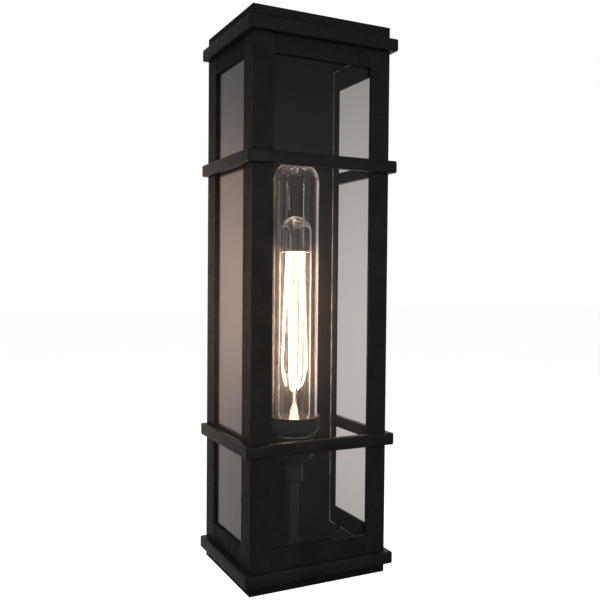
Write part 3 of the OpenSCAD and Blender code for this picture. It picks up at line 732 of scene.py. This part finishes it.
def make_filament():
    """One wire that runs up and down the cage, with round turns over the hooks."""
    route = []
    for k in range(STRANDS):
        foot_hook = (k + 1) // 2
        low = foot_height(foot_hook)
        heights = [low + (CAGE_TOP - low) * i / 48 for i in range(49)]
        strand = []
        for z in heights:
            bow = math.sin(math.pi * (z - low) / (CAGE_TOP - low))
            sway = 0.06 * math.sin(2.4 * k + 0.6) * bow
            slack = 1 - 0.05 * bow * (0.5 + 0.5 * math.sin(3.1 * k))
            strand.append(around(strand_angle(k) + sway, cage_radius(z, foot_hook) * slack, z))
        if k % 2:
            strand.reverse()
            heights.reverse()
        route += strand
        if k < STRANDS - 1:
            end = heights[-1]
            turn_r = cage_radius(end, foot_hook)
            bulge = (0.9 if k % 2 == 0 else -0.9) * MM
            for i in range(1, 8):
                t = i / 8
                route.append(around(strand_angle(k + t), turn_r, end + bulge * math.sin(math.pi * t)))
    points, faces = rod(route, 0.45 * MM)
    piece = mesh_object("filament_wire", points, faces, 60)
    piece.visible_diffuse = False
    finish_piece(piece, "lamp", ["filament"], FILAMENT)


def hook(angle, z, tip_r, turn):
    """A support wire from the glass rod that ends in a small open hook."""
    bend_r = 0.7 * MM
    start_r = tip_r - 0.9 * MM
    route = [around(angle, 0.6 * MM, z), around(angle, start_r, z)]
    for i in range(1, 9):
        a = math.pi * i / 8
        rise = turn * bend_r * (1 - math.cos(a))
        route.append(around(angle, start_r + bend_r * math.sin(a), z + rise))
    return rod(route, 0.2 * MM)


def make_supports():
    parts = []
    for k in range(STRANDS - 1):
        foot_hook = (k + 1) // 2
        if k % 2 == 0:
            parts.append(hook(strand_angle(k + 0.5), CAGE_TOP + 0.5 * MM, CAGE_TOP_R + 0.2 * MM, 1))
        else:
            low = foot_height(foot_hook)
            tip_r = cage_radius(low, foot_hook) + 0.4 * MM
            parts.append(hook(strand_angle(k + 0.5), low - 0.5 * MM, tip_r, -1))
    spider_z = CAGE_TOP + 2.4 * MM
    reach = lamp_r - 1.3 * MM
    for k in range(4):
        angle = math.radians(45 + 90 * k)
        route = smooth_route([
            around(angle, 0.7 * MM, spider_z), around(angle, reach - 1.2 * MM, spider_z),
            around(angle, reach, spider_z + 2.6 * MM)], 1.4 * MM)
        parts.append(rod(route, 0.22 * MM))
    for end, side in ((0, 1), (STRANDS - 1, -1)):
        route = smooth_route([AXIS + Vector((side * 1.9 * MM, 0, PRESS - 8 * MM)),
                              AXIS + Vector((side * 2.4 * MM, 0, PRESS + 3 * MM)),
                              around(strand_angle(end), INNER_FOOT_R, CAGE_LOW)], 2.5 * MM)
        parts.append(rod(route, 0.28 * MM))
    finish_piece(merged("filament_supports_wire", parts), "lamp", ["filament_supports"], SUPPORT)


THREAD_PITCH = 3.63 * MM


def make_lamp_cap():
    """Rolled brass cap with a true screw thread, a plain band above it and a cone below."""
    crest = (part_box("lamp_cap")[1].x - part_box("lamp_cap")[0].x) / 2
    thread = thread_form(AXIS, cap_low + 0.6 * MM, cap_top - 4.4 * MM, crest - 1.1 * MM, crest - 0.02 * MM,
                         THREAD_PITCH, crest - 1.5 * MM)
    band = radial_form(filleted([
        (cap_top - 4.6 * MM, crest - 1.1 * MM, 0.1 * MM), (cap_top - 3.4 * MM, crest - 0.7 * MM, 0.3 * MM),
        (cap_top - 0.8 * MM, crest - 0.7 * MM, 0.3 * MM), (cap_top, crest - 1.2 * MM, 0.2 * MM),
        (cap_top, crest - 1.6 * MM, 0.1 * MM), (cap_top - 4.6 * MM, crest - 1.5 * MM, 0.1 * MM)]), AXIS, 96)
    finish_piece(merged("lamp_screw_cap", [thread, band]), "lamp", ["lamp_cap"], BRASS)


def make_lamp_insulator():
    low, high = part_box("lamp_insulator")
    outer = (high.x - low.x) / 2
    piece = lathe("lamp_cap_insulator", [
        (low.z, 4.65 * MM, 0.1 * MM), (low.z, 5.8 * MM, 0.5 * MM),
        (low.z + 3.2 * MM, outer, 0.8 * MM), (high.z, outer, 0.2 * MM), (high.z, 4.65 * MM, 0)], AXIS)
    finish_piece(piece, "lamp", ["lamp_insulator"], BLACK_GLASS)


def make_lamp_contact():
    """Domed drop of solder on the lamp's tip."""
    low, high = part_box("lamp_contact")
    outer = (high.x - low.x) / 2
    rings = [(low.z, 0)]
    rings += [(low.z + 1.1 * MM * (1 - math.cos(math.radians(a))), outer * math.sin(math.radians(a)) ** 0.8)
              for a in range(12, 91, 13)]
    rings += [(high.z, outer), (high.z, 0)]
    points, faces = radial_form(rings, AXIS, 64, closed=False)
    piece = mesh_object("lamp_tip_solder", points, faces)
    finish_piece(piece, "lamp_tip", ["lamp_contact"], SOLDER)


def make_socket_shell():
    low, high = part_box("socket_shell")
    inner = 13.5 * MM
    points, faces = thread_form(AXIS, low.z, high.z, inner + 0.4 * MM, inner + 0.88 * MM, THREAD_PITCH,
                                inner + 0.05 * MM)
    piece = mesh_object("socket_screw_shell", points, faces)
    finish_piece(piece, "frame", ["socket_shell"], BRASS)


def make_cup():
    """Spun cup: rounded underside, beaded rim and a step that carries the chimney."""
    low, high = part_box("cup")
    bead = (high.x - low.x) / 2
    rim = bead - 0.5 * MM
    bore = 17.65 * MM
    seat = cup_high - 11 * MM
    corners = [(cup_low, bore, 0.3 * MM), (cup_low, bore + 0.5 * MM, 0)]
    turn = 9 * MM
    start = math.asin((bore + 0.5 * MM - (rim - turn)) / turn)
    for k in range(1, 13):
        a = start + (math.pi / 2 - start) * k / 12
        corners.append((cup_high - 18.6 * MM + turn * (1 - math.cos(a)), rim - turn + turn * math.sin(a), 0))
    corners += [(cup_high - 4.2 * MM, rim, 0.2 * MM), (cup_high - 3.8 * MM, rim - 0.25 * MM, 0.2 * MM),
                (cup_high - 3.4 * MM, rim, 0.2 * MM), (cup_high - 1.3 * MM, rim, 0.3 * MM),
                (cup_high - 0.9 * MM, bead, 0.4 * MM), (cup_high, bead - 0.1 * MM, 0.4 * MM),
                (cup_high, rim - 1.2 * MM, 0.4 * MM), (seat, rim - 1.2 * MM, 0.3 * MM),
                (seat, 19.2 * MM, 0.3 * MM), (seat - 4.6 * MM, 19.2 * MM, 0.3 * MM),
                (seat - 4.6 * MM, bore, 0.3 * MM)]
    piece = lathe("glass_cup", corners, AXIS, 160)
    finish_piece(piece, "frame", ["cup"], BRONZE)


def make_socket_holder():
    low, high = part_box("socket_holder")
    outer = (high.x - low.x) / 2 - 2 * MM
    t = 0.8 * MM
    piece = lathe("socket_can", [
        (low.z, COLLAR_BORE, 0.2 * MM), (low.z, outer - 3 * MM, 1.2 * MM),
        (low.z + 3 * MM, outer, 1.2 * MM), (high.z - t, outer, 0.5 * MM),
        (high.z - t, outer + 2 * MM, 0.3 * MM), (high.z, outer + 2 * MM, 0.3 * MM),
        (high.z, outer - t, 0.6 * MM), (low.z + 3.4 * MM, outer - t, 0.8 * MM),
        (low.z + t, outer - 3.4 * MM, 0.8 * MM), (low.z + t, COLLAR_BORE, 0.2 * MM)], AXIS)
    finish_piece(piece, "frame", ["socket_holder"], BRONZE)


def make_collar():
    low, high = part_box("socket_collar")
    r = (high.x - low.x) / 2
    z0, z1 = low.z, high.z
    piece = lathe("riser_collar", [
        (z0, COLLAR_BORE, 0.2 * MM), (z0, r - 1.5 * MM, 0.5 * MM), (z0 + 3 * MM, r, 0.8 * MM),
        (z0 + 14 * MM, r, 0.3 * MM), (z0 + 14.6 * MM, r - 0.6 * MM, 0.2 * MM),
        (z0 + 15.6 * MM, r - 0.6 * MM, 0.2 * MM), (z0 + 16.2 * MM, r, 0.3 * MM),
        (z1, r, 0.4 * MM), (z1, COLLAR_BORE, 0.2 * MM)], AXIS)
    finish_piece(piece, "frame", ["socket_collar"], BRONZE)


def make_riser():
    """Riser tube, plain along its height and threaded where the lock nuts hold it."""
    low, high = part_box("riser_tube")
    r = (high.x - low.x) / 2
    floor_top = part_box("floor_plate")[1].z
    thread_top = floor_top + 9 * MM
    root = r - 0.35 * MM
    thread = thread_form(AXIS, low.z, thread_top, root, r - 0.01 * MM, 1.0 * MM, RISER_WAY, 64, 8)
    plain = radial_form(filleted([
        (thread_top, root, 0), (thread_top + 0.6 * MM, r, 0.2 * MM), (high.z, r, 0.2 * MM),
        (high.z, RISER_WAY, 0.2 * MM), (thread_top, RISER_WAY, 0)]), AXIS, 64)
    finish_piece(merged("riser_pipe", [thread, plain]), "frame", ["riser_tube"], BRONZE)


def make_riser_nuts():
    low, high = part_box("riser_nuts")
    nut_h = 3 * MM
    across = 16 * MM * math.cos(math.pi / 6)
    parts = [radial_form(hex_rings(z, z + nut_h, across, COLLAR_BORE), AXIS, 72)
             for z in (low.z, high.z - nut_h)]
    finish_piece(merged("riser_lock_nuts", parts), "frame", ["riser_nuts"], BRONZE)


def make_thumb_nut(side):
    """Knurled drum nut on a plain flange."""
    node = "thumb_nut_left" if side < 0 else "thumb_nut_right"
    low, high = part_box(node)
    centre = Vector((middle(node).x, middle(node).y, 0))
    flange = (high.x - low.x) / 2
    bore = STUD_BORE
    drum = 5.4 * MM

    def knurled(r, depth):
        return lambda a: r - depth * (0.5 - 0.5 * math.cos(24 * a)) ** 2
    rings = [
        (low.z, bore + 0.3 * MM), (low.z, flange - 0.3 * MM), (low.z + 0.3 * MM, flange),
        (low.z + 1.2 * MM, flange), (low.z + 1.5 * MM, flange - 0.3 * MM),
        (low.z + 1.6 * MM, drum - 0.7 * MM), (low.z + 2.2 * MM, drum - 0.7 * MM),
        (low.z + 2.5 * MM, knurled(drum, 0.4 * MM)), (high.z - 1.0 * MM, knurled(drum, 0.4 * MM)),
        (high.z - 0.4 * MM, knurled(drum - 0.5 * MM, 0.1 * MM)), (high.z, drum - 1.3 * MM),
        (high.z, bore + 0.4 * MM), (high.z - 0.4 * MM, bore), (low.z + 0.3 * MM, bore)]
    points, faces = radial_form(rings, centre, 192)
    piece = mesh_object(node + "_knurled", points, faces, 30)
    finish_piece(piece, node, [node], IRON)


def make_cap_nuts():
    """Acorn nuts: chamfered hexagon with a polished dome."""
    low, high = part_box("cap_nuts")
    back = high.y
    half = (high.z - low.z) / 2 - 4.2 * MM * math.cos(math.pi / 6)
    across = 8.4 * MM * math.cos(math.pi / 6)
    parts = []
    for z in (-half, half):
        centre = Vector((0, back, z))
        dome = 3.4 * MM
        corner = across / 2 / math.cos(math.pi / 6)
        rings = [(0, 2.3 * MM), (0, hexagon(across, corner - 0.5 * MM)), (0.4 * MM, hexagon(across, corner)),
                 (2.9 * MM, hexagon(across, corner)), (3.4 * MM, hexagon(across, corner - 0.6 * MM)),
                 (3.4 * MM, dome + 0.1 * MM), (5.0 * MM, dome)]
        rings += [(5.0 * MM + dome * math.sin(a), dome * math.cos(a))
                  for a in (math.radians(x) for x in range(10, 90, 10))]
        rings += [(5.0 * MM + dome, 0), (4.6 * MM, 0), (4.6 * MM, STUD_BORE), (0.3 * MM, STUD_BORE)]
        parts.append(radial_form(rings, centre, 72, axis="Y"))
    finish_piece(merged("acorn_nuts", parts), "frame", ["cap_nuts"], IRON)


for hoop in ("hoop_top", "hoop_upper", "hoop_lower", "hoop_bottom"):
    make_hoop(hoop)
make_chimney()
make_lamp_glass()
make_stem()
make_filament()
make_supports()
make_lamp_cap()
make_lamp_insulator()
make_lamp_contact()
make_socket_shell()
make_cup()
make_socket_holder()
make_collar()
make_riser()
make_riser_nuts()
make_thumb_nut(-1)
make_thumb_nut(1)
make_cap_nuts()


# ---------------------------------------------------------------- stage, lights and camera

def plane(name, centre, width, height, normal_axis):
    w, h = width / 2, height / 2
    if normal_axis == "Z":
        corners = [(-w, -h, 0), (w, -h, 0), (w, h, 0), (-w, h, 0)]
    else:
        corners = [(-w, 0, -h), (w, 0, -h), (w, 0, h), (-w, 0, h)]
    made = mesh_object(name, [Vector(c) + Vector(centre) for c in corners], [[0, 1, 2, 3]])
    return made


def make_floor():
    """Pale floor below the lantern, bright by itself so that it stays pale round a dark object."""
    floor = plane("floor", (0, 0, cad_low.z - 0.4), 30, 30, "Z")
    s = Shader("pale_floor")
    s.colour(s.ramp(s.noise(1.5, 3), [(0.3, (0.80, 0.80, 0.795)), (0.7, (0.83, 0.83, 0.825))]))
    s.set(Roughness=0.9, Emission_Color=(1, 1, 1, 1), Emission_Strength=0.85)
    s.material.cycles.emission_sampling = "NONE"
    floor.data.materials.append(s.material)
    floor.visible_diffuse = False
    floor.visible_glossy = False
    floor.visible_transmission = False


def make_wall():
    """The wall behind the lantern, as the glass and the lantern's sides see it: a glowing card with a pale
    wash of light painted on it, and the lamp's warm light painted round the lamp as a glow. The camera looks
    past it to the plain background."""
    wall = plane("wall_backdrop", (0, cad_high.y + 0.012, 0), 2.4, 2.4, "Y")
    mat = bpy.data.materials.new("wall_painted_light")
    mat.use_nodes = True
    tree = mat.node_tree
    tree.nodes.clear()
    out = tree.nodes.new("ShaderNodeOutputMaterial")
    light = tree.nodes.new("ShaderNodeEmission")
    place = tree.nodes.new("ShaderNodeTexCoord")
    tree.links.new(light.outputs["Emission"], out.inputs["Surface"])

    def falloff(centre, size, inner, outer):
        mapping = tree.nodes.new("ShaderNodeMapping")
        mapping.vector_type = "POINT"
        mapping.inputs["Scale"].default_value = tuple(1 / s for s in size)
        mapping.inputs["Location"].default_value = tuple(-c / s for c, s in zip(centre, size))
        gradient = tree.nodes.new("ShaderNodeTexGradient")
        gradient.gradient_type = "SPHERICAL"
        colours = tree.nodes.new("ShaderNodeValToRGB")
        colours.color_ramp.interpolation = "EASE"
        colours.color_ramp.elements[0].color = (*outer, 1)
        colours.color_ramp.elements[1].color = (*inner, 1)
        tree.links.new(place.outputs["Object"], mapping.inputs["Vector"])
        tree.links.new(mapping.outputs["Vector"], gradient.inputs["Vector"])
        tree.links.new(gradient.outputs["Fac"], colours.inputs["Fac"])
        return colours.outputs["Color"]
    y = cad_high.y + 0.012
    # painted pool of pale light on the wall, fading away from the lantern
    painted_light_wash = falloff((0.15, y, -0.07), (0.8, 1.0, 0.58), (0.67, 0.615, 0.585), (0.14, 0.14, 0.14))
    # the lamp's warm light painted on the wall round the lamp
    painted_lamp_glow = falloff((-0.105, y, 0.02), (0.13, 1.0, 0.20), (0.72, 0.42, 0.33), (0, 0, 0))
    total = tree.nodes.new("ShaderNodeMix")
    total.data_type = "RGBA"
    total.blend_type = "ADD"
    total.inputs["Factor"].default_value = 1
    tree.links.new(painted_light_wash, total.inputs["A"])
    tree.links.new(painted_lamp_glow, total.inputs["B"])
    tree.links.new(total.outputs["Result"], light.inputs["Color"])
    mat.cycles.emission_sampling = "NONE"
    wall.data.materials.append(mat)
    wall.visible_camera = False
    wall.visible_shadow = False


def make_world():
    """White background for the camera; a dim soft room for everything else."""
    world = bpy.data.worlds.new("studio")
    bpy.context.scene.world = world
    world.use_nodes = True
    tree = world.node_tree
    tree.nodes.clear()
    out = tree.nodes.new("ShaderNodeOutputWorld")
    shown = tree.nodes.new("ShaderNodeBackground")
    shown.inputs["Color"].default_value = (1, 1, 1, 1)
    room = tree.nodes.new("ShaderNodeBackground")
    place = tree.nodes.new("ShaderNodeTexCoord")
    axes = tree.nodes.new("ShaderNodeSeparateXYZ")
    height = tree.nodes.new("ShaderNodeMapRange")
    height.inputs["From Min"].default_value = -1
    colours = tree.nodes.new("ShaderNodeValToRGB")
    stops = colours.color_ramp.elements
    stops[0].color = (0.02, 0.02, 0.02, 1)
    stops[1].color = (0.20, 0.20, 0.205, 1)
    path = tree.nodes.new("ShaderNodeLightPath")
    mix = tree.nodes.new("ShaderNodeMixShader")
    tree.links.new(place.outputs["Generated"], axes.inputs["Vector"])
    tree.links.new(axes.outputs["Z"], height.inputs["Value"])
    tree.links.new(height.outputs["Result"], colours.inputs["Fac"])
    tree.links.new(colours.outputs["Color"], room.inputs["Color"])
    tree.links.new(path.outputs["Is Camera Ray"], mix.inputs["Fac"])
    tree.links.new(room.outputs["Background"], mix.inputs[1])
    tree.links.new(shown.outputs["Background"], mix.inputs[2])
    tree.links.new(mix.outputs["Shader"], out.inputs["Surface"])


def soft_light(name, place, aim, width, height, power, colour=(1, 1, 1)):
    data = bpy.data.lights.new(name, "AREA")
    data.shape = "RECTANGLE"
    data.size = width
    data.size_y = height
    data.energy = power
    data.color = colour
    lamp = bpy.data.objects.new(name, data)
    lamp.location = place
    lamp.rotation_euler = (Vector(aim) - Vector(place)).to_track_quat("-Z", "Y").to_euler()
    lamp.visible_camera = False
    bpy.context.scene.collection.objects.link(lamp)
    return lamp


def point_light(name, height, power, colour, radius):
    """A small light on the lamp's axis that lights surfaces but is never seen itself."""
    data = bpy.data.lights.new(name, "POINT")
    data.energy = power
    data.color = colour
    data.shadow_soft_size = radius
    lamp = bpy.data.objects.new(name, data)
    lamp.location = AXIS + Vector((0, 0, height))
    lamp.visible_camera = False
    lamp.visible_glossy = False
    lamp.visible_transmission = False
    bpy.context.scene.collection.objects.link(lamp)


def make_lamp_light(count=5, power=2.3):
    """Warm light of the filament, spread up its height, and what the lamp's round top throws up into
    the chimney's dome."""
    for k in range(count):
        t = (k + 0.5) / count
        height = CAGE_LOW + (CAGE_TOP - CAGE_LOW) * t
        point_light(f"filament_light_{k}", height, power / count, (1.0, 0.67, 0.49), 7 * MM)
    point_light("dome_light", DOME - 23 * MM, 0.07, (1.0, 0.74, 0.56), 3 * MM)


def make_camera():
    """The camera stands left of the lantern, a little above its middle, and looks slightly down."""
    data = bpy.data.cameras.new("camera")
    data.sensor_width = 36
    data.lens = 44.66
    data.clip_start = 0.01
    camera = bpy.data.objects.new("camera", data)
    turn = (Matrix.Rotation(math.radians(-26.489), 4, "Z") @ Matrix.Rotation(math.radians(-1.664), 4, "X")
            @ Matrix.Rotation(math.radians(-0.504), 4, "Y") @ Matrix.Rotation(math.radians(90), 4, "X"))
    camera.matrix_world = Matrix.Translation((-0.3144, -0.6981, 0.0218)) @ turn
    bpy.context.scene.collection.objects.link(camera)
    bpy.context.scene.camera = camera


make_camera()
make_floor()
make_wall()
make_world()
make_lamp_light()
key = soft_light("key_light", (-0.5, -2.2, 0.8), (0, 0, 0), 1.4, 1.2, 30.0)
key.visible_glossy = False
key.visible_transmission = False
soft_light("strip_light", (0.42, -1.96, 0.3), (0, 0, 0.05), 0.03, 0.6, 0.8)
soft_light("side_strip_light", (-1.31, -0.5, 0.3), (0, 0, 0.05), 0.06, 0.6, 0.5)
soft_light("rear_light", (0.9, 1.8, 1.3), (0, 0, 0), 1.2, 1.2, 14.0)
near = soft_light("near_light", (-0.06, -0.46, 0.01), (0, -0.1, 0.01), 0.12, 0.12, 0.8, (1.0, 0.9, 0.78))
near.visible_glossy = False
near.visible_transmission = False
bpy.context.scene.view_settings.view_transform = "Standard"
bpy.context.scene.cycles.transparent_max_bounces = 16
bpy.context.scene.cycles.max_bounces = 16
bpy.context.scene.cycles.transmission_bounces = 16
